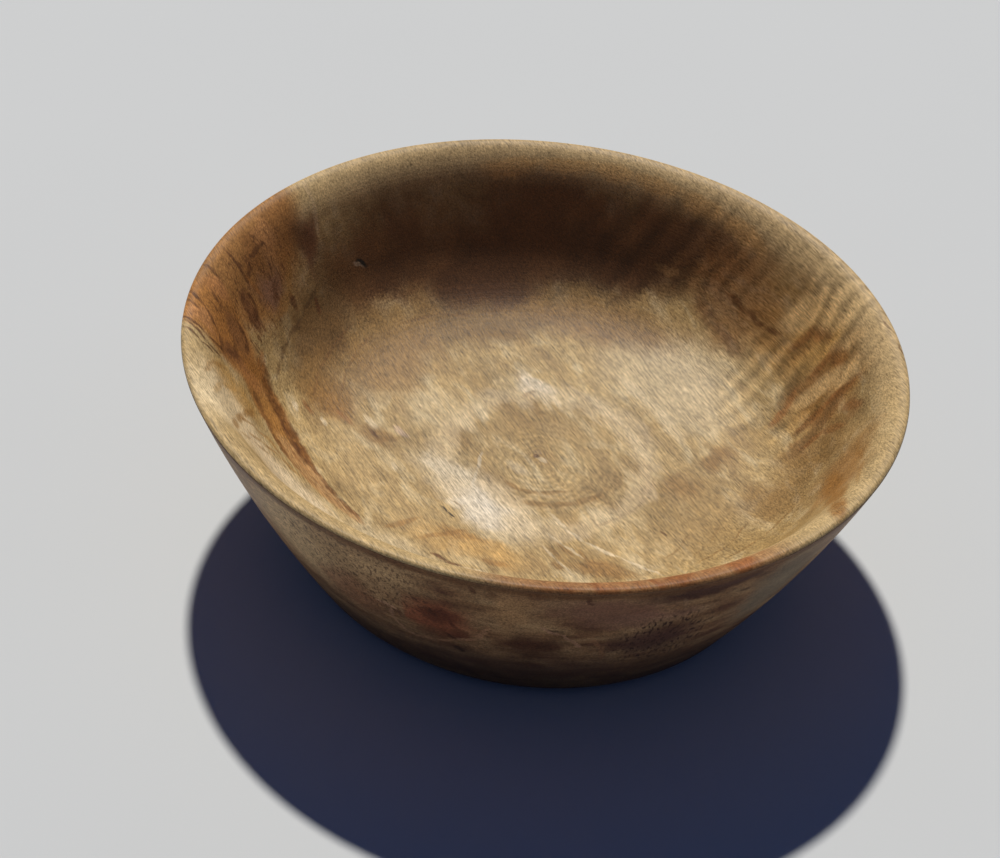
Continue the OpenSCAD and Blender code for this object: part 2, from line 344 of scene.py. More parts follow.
def inner_r(z):
    """Radius of the inner wall at height z, before the oval."""
    t = (z - DISH_Z) / (LIP_Z - DISH_Z)
    return outer_r(z) - WALL_T - (LIP_T - WALL_T) * t


def bend(a, b, c, t):
    """Point at t of the curve that leaves a, is drawn toward b and ends in c."""
    return tuple(p * (1 - t) ** 2 + q * 2 * t * (1 - t) + r * t * t
                 for p, q, r in zip(a, b, c))


def steps(low, high, count):
    """Values from low to high, with the last one left out."""
    return [low + (high - low) * i / count for i in range(count)]


def bowl_profile():
    """Rings (radius, height, share of the oval) from the dish's middle, over the
    lip and round the foot, to the middle of the flange's seat."""
    corner_z = DISH_Z + DISH_RISE
    corner_r = inner_r(corner_z)
    bend_in, bend_top = corner_r - CORNER_W, corner_z + CORNER_H
    roll_z = RIM_H - ROLL_H

    def floor_z(r):
        return DISH_Z + DISH_RISE * (r / corner_r) ** 2

    # centre dot left by the lathe's tailstock: a shallow dimple with a raised nub
    rings = [(0.22, DISH_Z - 0.04, 0), (0.42, DISH_Z - 0.13, 0), (0.65, DISH_Z - 0.08, 0.3)]
    rings += [(r, floor_z(r), 1) for r in steps(0.95, bend_in, 44)]
    corner = [bend((bend_in, floor_z(bend_in)), (corner_r, corner_z),
                   (inner_r(bend_top), bend_top), t) for t in steps(0, 1, 18)]
    rings += [(r, z, 1) for r, z in corner]
    rings += [(inner_r(z), z, 1) for z in steps(bend_top, roll_z, 12)]
    roll = [bend((inner_r(roll_z), roll_z), (inner_r(RIM_H), RIM_H),
                 (RIM_R - LIP_EDGE, RIM_H), t) for t in steps(0, 1, 14)]
    rings += [(r, z, 1) for r, z in roll]
    for a in steps(math.pi / 2, 0, 6):
        rings.append((RIM_R - LIP_EDGE + LIP_EDGE * math.cos(a), LIP_Z + LIP_EDGE * math.sin(a), 1))
    foot_top = FOOT_GAP + FOOT_ROUND
    rings += [(outer_r(z), z, 1) for z in steps(LIP_Z, foot_top, 46)]
    for a in steps(0, -math.pi / 2, 5):
        rings.append((FOOT_R - FOOT_ROUND + FOOT_ROUND * math.cos(a),
                      foot_top + FOOT_ROUND * math.sin(a), 1))
    rings += [(FOOT_R - FOOT_ROUND, FOOT_GAP, 1), (39.5, FOOT_GAP, 0.5),
              (RECESS_R + CHAMFER, FOOT_GAP, 0), (RECESS_R, FOOT_GAP + CHAMFER, 0)]
    rings += [(RECESS_R, z, 0) for z in steps(FOOT_GAP + CHAMFER + 1.5, RECESS_TOP - 0.6, 8)]
    rings += [(RECESS_R, RECESS_TOP - 0.6, 0), (RECESS_R - 0.6, RECESS_TOP, 0)]
    rings += [(r, RECESS_TOP, 0) for r in steps(35.5, SEAT_R, 12)]
    rings += [(SEAT_R, RECESS_TOP, 0), (SEAT_R, SEAT_TOP, 0), (SEAT_R - 0.3, SEAT_TOP, 0)]
    rings += [(r, SEAT_TOP, 0) for r in steps(16, 1, 7)]
    return rings


def turn_piece(name, rings, around, low_mid, high_mid, shape):
    """Closed mesh of revolution. shape(r, z, oval, angle) gives each point in mm."""
    points = [shape(r, z, oval, math.tau * j / around)
              for r, z, oval in rings for j in range(around)]
    first, last = len(points), len(points) + 1
    points += [low_mid, high_mid]
    faces = []
    for i in range(len(rings) - 1):
        for j in range(around):
            k = (j + 1) % around
            a, b = i * around, (i + 1) * around
            faces.append((a + j, b + j, b + k, a + k))
    end = (len(rings) - 1) * around
    for j in range(around):
        k = (j + 1) % around
        faces.append((first, j, k))
        faces.append((last, end + k, end + j))
    mesh = bpy.data.meshes.new(name)
    mesh.from_pydata([[c * MM for c in p] for p in points], [], faces)
    mesh.shade_smooth()
    piece = bpy.data.objects.new(name, mesh)
    bpy.context.scene.collection.objects.link(piece)
    return piece


def bowl_point(r, z, oval, angle):
    """The oval of a bowl that has warped while it dried, with a hand-turned lip
    that is a hair uneven. Nothing goes past the box of the CAD bowl."""
    r *= 1 + oval * OVAL * math.cos(2 * angle)
    x, y = r * math.cos(angle), r * math.sin(angle)
    high = max(0.0, (z - UNEVEN_FROM) / (RIM_H - UNEVEN_FROM)) * oval
    at = Vector((math.cos(angle), math.sin(angle), z * 0.02)) * 1.7
    dip = (0.5 + 0.5 * noise.noise(at)) * UNEVEN * high
    return (x * (1 - dip / RIM_R), y * (1 - dip / RIM_R), z - 0.6 * dip)


def make_bowl():
    """The turned bowl. Its faces wear one finish for each zone of the wood, and the
    zones differ only in which marks reach into them."""
    rings = bowl_profile()
    bowl = turn_piece("turned_bowl", rings, AROUND, (0, 0, DISH_Z + 0.02),
                      (0, 0, SEAT_TOP), bowl_point)
    # the ring furthest out and up parts the inside from the outside
    edge = max(range(len(rings)), key=lambda i: rings[i][0] + 0.4 * rings[i][1])
    worn = {}
    for face in bowl.data.polygons:
        x, y, z = face.center / MM
        is_inside = face.index // AROUND < edge or (z > DISH_Z and math.hypot(x, y) < 1)
        if is_inside:
            zone = ("inside", zone_in(INSIDE_X, x), zone_in(INSIDE_Y, y))
        else:
            zone = ("outside", zone_in(OUTSIDE_ANGLE, math.degrees(math.atan2(y, x))), 0)
        face.material_index = worn.setdefault(zone, len(worn))
    for side, across, up in worn:
        wood = inside_maple(across, up) if side == "inside" else outside_maple(across)
        bowl.data.materials.append(wood)
    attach(bowl, "bowl")
    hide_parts("bowl")


# ---- Wood of the bowl ----
# Marks are listed one by one. On the inside they are in plan, millimetres from the
# middle; on the outside they are in degrees round the bowl and millimetres up.

CREAM = (0.66, 0.51, 0.31)
PALE = (0.51, 0.385, 0.215)
HONEY = (0.42, 0.28, 0.115)
OLIVE_TAN = (0.31, 0.19, 0.066)
UMBER = (0.22, 0.115, 0.034)
GOLD = (0.50, 0.28, 0.08)
AMBER = (0.30, 0.14, 0.032)
ORANGE = (0.36, 0.14, 0.032)
RUST = (0.23, 0.088, 0.024)
CHESTNUT = (0.13, 0.055, 0.02)
# dark brown with painted shade, for the back wall
DARK_WOOD_AND_PAINTED_SHADE = (0.065, 0.028, 0.011)
DARK_LINE = (0.10, 0.04, 0.013)
RED_DARK = (0.10, 0.038, 0.014)
SAPWOOD = (0.20, 0.16, 0.105)

GRAIN_TURN = -37         # degrees that the fibres run from +X
CURL = 4.3               # millimetres from wave to wave of the curl

# Clouds and inlays: centre, half size, turn, share, tone
INSIDE_CLOUDS = (
    # dish floor, from the back to the front
    ((14, 32), (20, 13), 10, 0.75, PALE),
    ((22, 24), (12, 9), -10, 0.7, PALE),
    # the next two are darker wood with painted shade, where the back wall's shadow reaches the floor
    ((-23, 30), (21, 10), 32, 0.92, (0.19, 0.105, 0.034)),
    ((-4, 39), (26, 8), 6, 0.85, UMBER),
    ((-6, 10), (8, 6), 0, 0.35, UMBER),
    ((1, 0), (5, 4), 0, 0.35, UMBER),
    ((-20, 16), (9, 6), 0, 0.55, OLIVE_TAN),
    ((-37, 12), (13, 22), -12, 0.85, UMBER),
    ((-33, 8), (8, 9), 0, 0.5, (0.34, 0.2, 0.075)),
    ((-23, 2), (8, 8), 0, 0.4, PALE),
    ((-3, 7), (10, 9), 0, 0.7, OLIVE_TAN),
    ((3, 15.5), (8, 2.6), -5, 0.4, OLIVE_TAN),
    ((17, 15), (3, 4), 0, 0.5, OLIVE_TAN),
    ((-15, -2), (5, 4), 0, 0.35, UMBER),
    ((11, -8), (9, 3.2), 38, 0.5, OLIVE_TAN),
    ((31, -1), (12, 14), 0, 0.8, OLIVE_TAN),
    ((28, 4), (6, 5), 20, 0.6, UMBER),
    ((32, 14), (3.5, 5), 0, 0.6, UMBER),
    ((40, -9), (11, 9), 40, 0.75, OLIVE_TAN),
    ((-41, -5), (10, 7), -25, 0.9, UMBER),
    ((-40, -7), (8, 4), -25, 0.4, AMBER),
    ((-29, -9.5), (6, 3.4), -8, 0.75, UMBER),
    ((-14, -13), (11, 6), -25, 0.6, PALE),
    ((-2, -17), (16, 8), -28, 0.9, CREAM),
    ((-3, -18.5), (9, 5.4), -24, 0.85, (0.74, 0.64, 0.49)),
    ((-8, 18), (6, 3), -12, 0.6, (0.66, 0.54, 0.38)),
    ((-13, -11.5), (8, 3.6), -25, 0.75, (0.70, 0.57, 0.38)),
    ((-32, -17), (10, 5), -35, 0.5, HONEY),
    ((0, -29), (16, 4.5), 2, 0.65, GOLD),
    ((-3, -27.5), (6, 2.4), 5, 0.55, AMBER),
    ((21, -23), (14, 5.5), 4, 0.85, OLIVE_TAN),
    ((24, -24), (9, 3), 4, 0.6, AMBER),
    # wall at the back and at the right
    # the next seven, at the back and back left, are darker wood with painted shade over it, where the
    # wall lies in shadow
    ((-8, 51), (48, 9), 6, 0.95, CHESTNUT),
    ((-12, 47), (34, 7), 14, 0.9, DARK_WOOD_AND_PAINTED_SHADE),
    ((-30, 38), (22, 10), 38, 0.95, CHESTNUT),
    ((-28, 37), (19, 8), 36, 0.95, DARK_WOOD_AND_PAINTED_SHADE),
    ((-46, 26), (9, 24), -24, 0.95, CHESTNUT),
    ((-43, 28), (5, 14), -30, 0.7, DARK_WOOD_AND_PAINTED_SHADE),
    ((-49, 6), (8, 18), -4, 0.95, (0.135, 0.07, 0.024)),
    ((-45, -2), (6, 10), 12, 0.6, UMBER),
    ((22, 47), (16, 8), -28, 0.6, RUST),
    ((34, 42), (12, 9), -40, 0.5, AMBER),
    ((42, 39), (10, 7), -45, 0.8, GOLD),
    ((47, 28), (11, 9), -60, 0.7, AMBER),
    ((49, 16), (9, 9), -60, 0.75, UMBER),
    ((46, 5), (9, 11), -80, 0.65, UMBER),
    ((42.5, 32.5), (5.5, 3), 20, 0.6, (0.22, 0.1, 0.03)),
    ((39.5, 38.5), (4.5, 2.4), 10, 0.6, (0.24, 0.115, 0.035)),
    ((39, 28), (2.4, 5), -10, 0.6, (0.21, 0.1, 0.035)),
    ((48.5, 24.5), (5.5, 2.6), 35, 0.7, (0.22, 0.1, 0.03)),
    ((46.5, 19.5), (5, 2.6), 55, 0.65, (0.2, 0.1, 0.035)),
    ((53.5, 21), (4, 2), -40, 0.6, (0.24, 0.12, 0.04)),
    ((31, 13.5), (2.6, 4.6), 15, 0.6, UMBER),
    ((58, 3), (6, 16), 5, 0.85, (0.32, 0.16, 0.05)),
    ((52, -8), (8, 9), 10, 0.6, OLIVE_TAN),
    ((38, 24), (7, 8), 0, 0.5, OLIVE_TAN),
    # wall at the left, and the golden streaks below it
    ((-58, -17), (11, 9), 10, 0.9, ORANGE),
    ((-50, -27), (5, 7), -20, 0.7, GOLD),
    # cream wall below the orange wedge, and the front
    ((-46, -36), (13, 9), -45, 0.95, (0.76, 0.58, 0.33)),
    ((-34, -36), (16, 6), -22, 0.9, CREAM),
    ((-12, -38), (18, 6), -5, 0.7, PALE),
)

# marks with a crisp outline, laid over the clouds
INSIDE_INLAYS = (
    ((-64, 0), (10.4, 23.4), 0, 0.95, (0.33, 0.15, 0.042)),
    ((-59, -17), (9.5, 8.4), 12, 0.8, (0.40, 0.17, 0.042)),
    ((-48, -18), (8.4, 4.2), -34, 0.85, (0.31, 0.13, 0.03)),
    ((-41.5, -22.4), (11, 3.1), -33, 0.95, (0.35, 0.16, 0.04)),
    ((-34, -27.6), (12, 2.1), -29, 0.9, (0.40, 0.215, 0.08)),
    ((-26, -31.4), (8, 1.2), -22, 0.8, (0.44, 0.25, 0.1)),
)

# darker and brighter wood inside the red wall
RED_WALL_CLOUDS = (
    ((-56.6, 16), (3.4, 5), 10, 0.85, (0.15, 0.062, 0.03)),
    ((-60, 13), (5, 7), 0, 0.4, RUST),
    ((-57.5, 3), (3.6, 6), 0, 0.75, (0.20, 0.1, 0.062)),
    ((-62, 2), (3, 6), 0, 0.5, RUST),
    ((-57.8, -5.6), (3.4, 2.8), 0, 0.8, (0.16, 0.065, 0.026)),
    ((-55, 8), (2.4, 7), 0, 0.55, (0.3, 0.17, 0.065)),
    ((-56, -13), (3, 3.6), 0, 0.7, (0.19, 0.08, 0.03)),
    ((-54.6, -19), (2.6, 4), 0, 0.75, (0.15, 0.06, 0.024)),
    ((-61.5, 7.4), (3.4, 4), 0, 0.6, (0.46, 0.21, 0.075)),
    ((-61.6, -11.6), (3.4, 3.4), 0, 0.65, (0.46, 0.2, 0.07)),
    ((-60, -20), (4, 3), 0, 0.65, (0.5, 0.23, 0.085)),
    ((-52, -17.6), (3, 3), 0, 0.6, (0.44, 0.19, 0.06)),
)

# Lines: points, half width, share, tone
INSIDE_LINES = (
    # orange wedge that runs from the left wall onto the dish floor
    (((-52.5, -11), (-48.4, -15.4), (-44, -18.2), (-40, -21.3), (-36, -24.4)), 1.7, 0.85,
     (0.125, 0.045, 0.011)),
    (((-37, -23.6), (-32, -26.8), (-27, -29.8), (-21, -32.9)), 0.75, 0.85, (0.16, 0.066, 0.02)),
    (((-46, -17.8), (-41.6, -20.8), (-37.4, -24.2)), 0.55, 0.8, (0.11, 0.042, 0.014)),
    (((-43, -20.4), (-39.4, -23.2)), 0.35, 0.6, (0.15, 0.06, 0.02)),
    (((-50, -19), (-47.5, -20.8), (-43.6, -23.9), (-39, -26.6)), 0.8, 0.8, (0.15, 0.06, 0.018)),
    (((-40, -26), (-35.6, -28.4), (-30, -30.4), (-24, -32.4)), 0.5, 0.5, (0.22, 0.1, 0.032)),
    (((-47, -21), (-42, -22.8), (-36, -26)), 0.3, 0.4, RUST),
    (((-40, -24), (-34, -27.4), (-28, -30.4)), 0.3, 0.4, RUST),
    # waves in the cream wall below it
    (((-47.5, -24), (-46.5, -30), (-44.5, -36), (-42, -42)), 0.8, 0.7, AMBER),
    (((-45.8, -33), (-45.2, -28.5), (-43, -26.5), (-39.5, -28)), 0.5, 0.6, AMBER),
    (((-43.4, -34), (-42.6, -30), (-40, -28.6), (-35, -29.8)), 0.5, 0.6, AMBER),
    (((-41.8, -40), (-42, -35), (-40.5, -31)), 0.5, 0.45, AMBER),
    (((-50, -25), (-50.5, -31), (-48.5, -37)), 0.7, 0.5, GOLD),
    (((-53, -25), (-53.5, -29), (-52, -34)), 0.6, 0.5, AMBER),
    # nested lines and flecks of the red wall
    (((-63, -23), (-57, -24), (-55, -21.5)), 0.5, 0.85, RED_DARK),
    (((-61.5, -24), (-56, -25.4), (-54.5, -24)), 0.5, 0.85, RED_DARK),
    (((-61, -25.6), (-56.5, -26.8), (-54.8, -25.8)), 0.45, 0.8, RED_DARK),
    (((-66, -16), (-60.5, -18), (-57, -19.5)), 0.5, 0.8, RED_DARK),
    (((-65, -18.5), (-60, -19.8)), 0.4, 0.6, RED_DARK),
    (((-66, -8.4), (-62.4, -9)), 0.5, 0.8, RED_DARK),
    (((-65, -2.5), (-60, -2.6)), 0.5, 0.85, RED_DARK),
    (((-61.6, 6), (-61.4, 1), (-60, -2.5)), 0.5, 0.7, RED_DARK),
    (((-59.4, -3.8), (-57.6, -3.6), (-56.6, -5.4)), 0.6, 0.85, RED_DARK),
    (((-59.6, -5), (-58.6, -7), (-55.2, -6.4)), 0.6, 0.7, RED_DARK),
    (((-57.6, -11.4), (-55.4, -11.6), (-54.3, -13.6)), 0.6, 0.85, RED_DARK),
    (((-60, -12.6), (-59.4, -15.4)), 0.5, 0.6, RED_DARK),
    (((-55.4, -16.4), (-54, -18), (-55, -19.6)), 0.7, 0.7, RED_DARK),
    (((-56.6, -19.6), (-55, -21.8)), 0.6, 0.8, RED_DARK),
    (((-57.6, 4.5), (-56.4, 2)), 0.9, 0.6, RED_DARK),
    (((-52.2, 11.2), (-50.9, 9.9)), 0.7, 0.85, RED_DARK),
    (((-55, 6.2), (-54, 5.8)), 0.7, 0.8, RED_DARK),
    (((-58.5, 14), (-56, 16.5)), 2.3, 0.6, RED_DARK),
    (((-53, 13), (-52.6, 6), (-52.4, 0), (-51.2, -6), (-49.6, -10.5)), 0.45, 0.6,
     (0.09, 0.045, 0.018)),
    # a small pit, painted near black as painted shade in the hole
    (((-49.1, 22.8), (-47.9, 24)), 0.55, 1.0, (0.012, 0.008, 0.005)),
    # rings on the left of the floor
    (((-45.4, 14), (-46, 6), (-45.4, -1), (-43, -8)), 0.4, 0.4, CHESTNUT),
    (((-41.4, 14), (-42, 9), (-41.4, 3), (-39.6, -3)), 0.4, 0.35, CHESTNUT),
    (((-38, 20), (-33, 26), (-26, 30)), 0.5, 0.3, CHESTNUT),
    (((-43, 22), (-37, 30), (-29, 35)), 0.5, 0.3, CHESTNUT),
    # marks round the middle of the floor
    (((-2, -9.4), (1, -10.3), (4.5, -9.6), (9, -6.8)), 0.8, 0.75, UMBER),
    (((3.5, -12.8), (7, -12), (12, -9), (15, -5)), 1.1, 0.7, UMBER),
    (((15, -6), (17, -1), (15.6, 4)), 1.6, 0.35, UMBER),
    (((-11, 4), (-14.4, -1), (-13.6, -5.6)), 2.6, 0.5, OLIVE_TAN),
    (((0, 16), (5, 15.8), (9, 14.6)), 1.4, 0.5, OLIVE_TAN),
    (((19, 8), (22, 3), (22.4, -3)), 1.0, 0.4, UMBER),
    (((-8.6, 14.2), (-7.6, 15.8)), 1.0, 0.8, UMBER),
    (((-8, 14), (-4, 11)), 1.3, 0.45, UMBER),
    (((-30.6, -8.9), (-28, -10.5)), 0.6, 0.8, DARK_LINE),
    (((-28, -11), (-24.6, -8)), 0.9, 0.5, UMBER),
    (((-44, -10), (-41.5, -11.6)), 0.7, 0.6, RUST),
    (((-38, -8), (-34, -9.4)), 0.8, 0.5, RUST),
    (((-9.6, -21.7), (-8, -22.3), (-6.2, -23.2)), 0.28, 0.95, (0.03, 0.02, 0.012)),
    (((-8.8, -19.2), (-6, -20)), 0.25, 0.5, UMBER),
    (((-5.8, -34.2), (-2.5, -35), (0.2, -35.2)), 0.6, 0.9, CHESTNUT),
    (((29.3, -9.2), (30.4, -9.9)), 0.4, 0.8, DARK_LINE),
    (((3, -31.5), (7.5, -30.8)), 1.0, 0.6, AMBER),
    (((-16, -32), (-12, -26.5)), 1.0, 0.5, AMBER),
    (((-9.5, -31.5), (-3, -25.5)), 1.0, 0.55, AMBER),
    (((22.6, 4), (23.6, -1), (22.4, -6), (20, -10), (17.6, -13.6)), 0.55, 0.5, UMBER),
    # brown mottle at the front right of the floor
    (((13, -20.8), (17, -22.6)), 0.6, 0.7, UMBER),
    (((12.6, -22.4), (15.6, -24.6)), 0.7, 0.6, UMBER),
    (((17.6, -20.6), (20.4, -23.2), (23, -22.4)), 0.6, 0.7, UMBER),
    (((19, -24), (22.6, -24.4)), 0.5, 0.7, UMBER),
    (((24, -21.6), (30, -22.6)), 0.7, 0.6, UMBER),
    (((15, -26.2), (16.2, -26.8)), 1.1, 0.75, UMBER),
    # fine arcs on the right of the floor and up the wall
    (((34, -8), (34, -12), (32.4, -16.4)), 0.3, 0.55, UMBER),
    (((38.8, -3), (38.4, -9), (36.8, -14)), 0.3, 0.35, UMBER),
    (((43, -1), (42.4, -8), (38.4, -16)), 0.35, 0.6, UMBER),
    (((50.4, 3), (47.4, -6), (43, -13)), 0.4, 0.6, UMBER),
    (((55, 6), (59, -4), (61, -12), (63.2, -18)), 2.2, 0.9, (0.29, 0.13, 0.03)),
    (((58, 10), (61.4, 2), (63, -8)), 0.6, 0.4, AMBER),
    # curly bands and knots of the wall at the back right
    (((39.6, 31), (39.4, 28), (38, 25)), 1.2, 0.65, RUST),
    (((36, 38.6), (40, 39.2), (43.6, 37)), 1.3, 0.6, RUST),
    (((42.4, 32.6), (45, 34.4), (48, 31.6)), 1.4, 0.65, RUST),
    (((43.6, 22.4), (47, 26), (52, 27)), 1.3, 0.65, RUST),
    (((52, 22.8), (55, 20.4)), 1.1, 0.55, RUST),
    (((46, 18.6), (49, 20.6), (53, 18.4)), 1.0, 0.5, RUST),
    (((19, 48), (24, 45.4), (29.4, 42.6), (33, 41)), 0.55, 0.8, DARK_LINE),
    (((14, 47), (20, 43), (26, 39)), 1.6, 0.6, CHESTNUT),
    (((53, 36), (55.6, 34)), 0.35, 0.7, DARK_LINE),
    (((57.6, 30.8), (59.6, 28.6)), 0.4, 0.7, DARK_LINE),
)

# pale creases, hairs and specks, and painted highlights: the gold bars on the right wall, the band
# along the back of the lip and the edge of the small pit
INSIDE_PALE_MARKS_AND_HIGHLIGHTS = (
    (((-55.6, 18.6), (-58, 21.2), (-61, 22.6)), 0.7, 0.5, (0.5, 0.34, 0.18)),
    # painted highlight on the lower edge of the small pit
    (((-49.5, 22.1), (-48.1, 23.3)), 0.35, 0.6, (0.42, 0.3, 0.19)),
    (((-13, 20.5), (-6, 18.2), (0, 13.6)), 0.9, 0.5, CREAM),
    (((-10.5, 18.6), (-4.5, 18)), 1.9, 0.4, (0.66, 0.56, 0.42)),
    (((-12, 21), (-8, 17.6), (-3, 13.4)), 0.8, 0.5, CREAM),
    (((-9.4, -4), (-8.2, -9), (-6.4, -15.4)), 0.5, 0.6, (0.72, 0.6, 0.42)),
    (((2, 20), (12, 15), (20, 8)), 1.4, 0.3, CREAM),
    (((6, 27), (16, 22), (24, 15)), 1.8, 0.3, CREAM),
    (((-19, -9.4), (-14, -12), (-7.6, -14.4)), 0.5, 0.6, CREAM),
    (((-3.4, -4.4), (0, -5.4)), 1.6, 0.5, CREAM),
    (((0.8, -0.4), (2.4, -0.8)), 0.7, 0.6, CREAM),
    (((9, -14), (13, -16.4), (17.4, -18.2), (25, -19.4), (34, -20.9)), 0.5, 0.75, CREAM),
    (((10.4, -19), (14, -20.6), (19, -22.6)), 0.4, 0.6, CREAM),
    (((11, -22.4), (14.6, -25), (20, -28)), 0.4, 0.5, CREAM),
    (((-45, -12), (-44, -13)), 0.8, 0.8, CREAM),
    (((-39.4, -11.6), (-38, -12.6)), 0.6, 0.7, CREAM),
    (((-32.6, -6.4), (-30, -8)), 1.1, 0.6, CREAM),
    (((-26.4, -6), (-24, -7)), 1.0, 0.7, (0.55, 0.38, 0.26)),
    (((-22.6, -15.4), (-21.6, -16.4)), 0.8, 0.6, CREAM),
    # the next three are painted highlights, the sheen of the curl on the right wall
    (((42, 29), (47, 30), (51, 28.6)), 2.4, 0.7, (0.70, 0.46, 0.2)),
    (((34, 43), (40, 42), (46, 38.6)), 3.0, 0.65, (0.72, 0.48, 0.21)),
    (((45.5, 35), (50, 34.4)), 1.8, 0.5, (0.6, 0.38, 0.16)),
    # painted highlight: the lit band along the back of the lip
    (((-34, 48), (-24, 53.6), (-14, 57), (-6, 58), (4, 57.8), (14, 56), (24, 52)), 1.5, 0.65,
     (0.56, 0.31, 0.105)),
    (((3, 50.4), (9, 50), (15, 47.8), (22, 45)), 0.6, 0.45, (0.36, 0.2, 0.08)),
    (((-60, -2), (-58, -0.6)), 0.8, 0.5, ORANGE),
    (((-57.4, 10), (-55.4, 6), (-55, 0)), 0.9, 0.5, AMBER),
    (((-53.4, -9), (-51.6, -13.5)), 1.0, 0.5, ORANGE),
    (((-1, -35.9), (8, -34.4), (16, -32.2)), 0.9, 0.5, CREAM),
)

# Outside, in degrees round the bowl and millimetres up
OUTSIDE_CLOUDS = (
    ((-113, 36), (14, 18), 0, 0.85, (0.54, 0.37, 0.19)),
    ((-98, 41), (16, 8), 0, 0.8, (0.42, 0.27, 0.13)),
    ((-104, 26), (10, 9), -70, 0.7, (0.25, 0.115, 0.055)),
    ((-85, 30), (9.5, 10), 0, 0.95, (0.23, 0.075, 0.034)),
    ((-84, 31), (5.6, 3.6), 0, 0.7, (0.085, 0.028, 0.014)),
    ((-90, 27), (2.6, 4), 0, 0.5, (0.30, 0.1, 0.045)),
    ((-81, 25), (2.4, 3), 0, 0.6, (0.085, 0.028, 0.014)),
    ((-87, 22), (6, 4), 0, 0.6, (0.15, 0.06, 0.027)),
    ((-72, 39), (4.4, 12), 0, 0.85, (0.38, 0.215, 0.095)),
    ((-56, 41), (14, 8), 0, 0.8, (0.18, 0.085, 0.052)),
    ((-48, 37), (13, 4), 0, 0.65, (0.24, 0.125, 0.078)),
    ((-67, 25), (9, 8), 0, 0.85, (0.075, 0.03, 0.015)),
    ((-46, 27), (12, 9), 0, 0.85, (0.075, 0.035, 0.025)),
    # painted shade under the lip at the front
    ((-40, 44.6), (15, 3.6), 0, 0.9, (0.06, 0.026, 0.016)),
    ((-24, 34), (10, 18), 0, 0.8, SAPWOOD),
    # the last two darken the wall low down: painted shade toward the foot
    ((-78, 12), (22, 9), 0, 0.55, (0.11, 0.06, 0.04)),
    ((-60, 15), (14, 8), 0, 0.5, (0.09, 0.045, 0.03)),
)

OUTSIDE_LINES = (
    (((-97.6, 28), (-93.6, 28)), 0.8, 0.9, (0.44, 0.25, 0.14)),
    (((-95, 27), (-95.4, 23), (-93.4, 18.4), (-90.6, 18)), 0.65, 0.85, (0.40, 0.22, 0.12)),
    (((-91, 18.4), (-86.6, 19.6), (-82, 22.6), (-78, 24.6), (-75.6, 31)), 0.8, 0.85,
     (0.36, 0.19, 0.095)),
    (((-87, 18), (-85, 15), (-82, 14)), 1.1, 0.5, (0.22, 0.12, 0.06)),
    (((-91.4, 38), (-92, 31), (-92.4, 26)), 0.5, 0.6, (0.30, 0.18, 0.09)),
    (((-66.4, 34), (-63, 31.6), (-60.4, 29), (-59, 26.4)), 0.7, 0.8, (0.38, 0.21, 0.12)),
    (((-57, 29.5), (-54.6, 25), (-53.6, 20)), 1.0, 0.7, (0.26, 0.125, 0.06)),
    (((-53, 18), (-50.4, 13), (-48.6, 9)), 0.9, 0.4, (0.20, 0.10, 0.06)),
    (((-82.4, 18.6), (-81.4, 17.6)), 1.0, 0.95, (0.03, 0.015, 0.01)),
    (((-86.6, 33), (-85.4, 31.4)), 1.1, 0.85, (0.07, 0.025, 0.012)),
    (((-82.6, 29.4), (-81.4, 27.6)), 0.8, 0.8, (0.07, 0.025, 0.012)),
    (((-84.4, 24.4), (-82.6, 23)), 1.0, 0.8, (0.06, 0.025, 0.012)),
    (((-89, 36), (-88, 34)), 0.6, 0.7, (0.09, 0.035, 0.018)),
    (((-78.4, 46), (-77.6, 43.4)), 0.8, 0.75, (0.11, 0.045, 0.02)),
    (((-75.4, 46), (-74.4, 44.6)), 0.7, 0.6, (0.11, 0.045, 0.02)),
    (((-60, 46.4), (-58.8, 44)), 0.5, 0.8, (0.06, 0.025, 0.015)),
    (((-65.4, 33.4), (-62.4, 33)), 0.5, 0.7, (0.06, 0.03, 0.018)),
    (((-113, 42.6), (-112, 40)), 0.5, 0.8, (0.10, 0.05, 0.025)),
    # painted shade under the lip at the front
    (((-45.6, 46.4), (-38, 45.6), (-31, 46)), 1.6, 0.7, (0.07, 0.033, 0.025)),
    (((-34, 40.6), (-32, 39.8)), 0.8, 0.7, (0.06, 0.03, 0.02)),
    (((-44, 43), (-43, 39)), 0.8, 0.4, (0.30, 0.18, 0.10)),
)


# Zones of the bowl's wood: cuts in plan on the inside, in degrees on the outside.
# One material with all the marks is more than the renderer can hold.
INSIDE_X = (-48, -22, 8, 34)
INSIDE_Y = (-14, 16)
OUTSIDE_ANGLE = (-126, -100, -72, -45, -12)
CLOUD_REACH = 7.0        # how far wander and fringe can carry the edge of a cloud
LINE_REACH = 1.2         # the same for a line
FAR = 200                # past every mark


def zone_in(cuts, value):
    """Number of the zone that a value falls in."""
    return sum(value > cut for cut in cuts)


def zone_span(cuts, zone):
    """Where a zone starts and ends."""
    ends = (-FAR,) + cuts + (FAR,)
    return ends[zone], ends[zone + 1]


def meets(low, high, span):
    """Whether a stretch reaches into a span."""
    return high >= span[0] and low <= span[1]


def bowl_clouds(wood, colour, at, clouds, spans, edge=0.7):
    """Paints the clouds that reach into a zone."""
    for centre, size, turn, share, tone in clouds:
        reach = max(size) + CLOUD_REACH
        if all(meets(c - reach, c + reach, span) for c, span in zip(centre, spans)):
            colour = wood.paint(colour, tone, wood.patch(at, centre, size, turn, edge, share))
    return colour


def bowl_lines(wood, colour, at, lines, spans, broken):
    """Paints the drawn lines that reach into a zone."""
    for points, width, share, tone in lines:
        reach = width * 2 + LINE_REACH
        sides = zip(zip(*points), spans)
        if all(meets(min(cs) - reach, max(cs) + reach, span) for cs, span in sides):
            colour = wood.paint(colour, tone, wood.line(at, points, width, share) * broken)
    return colour


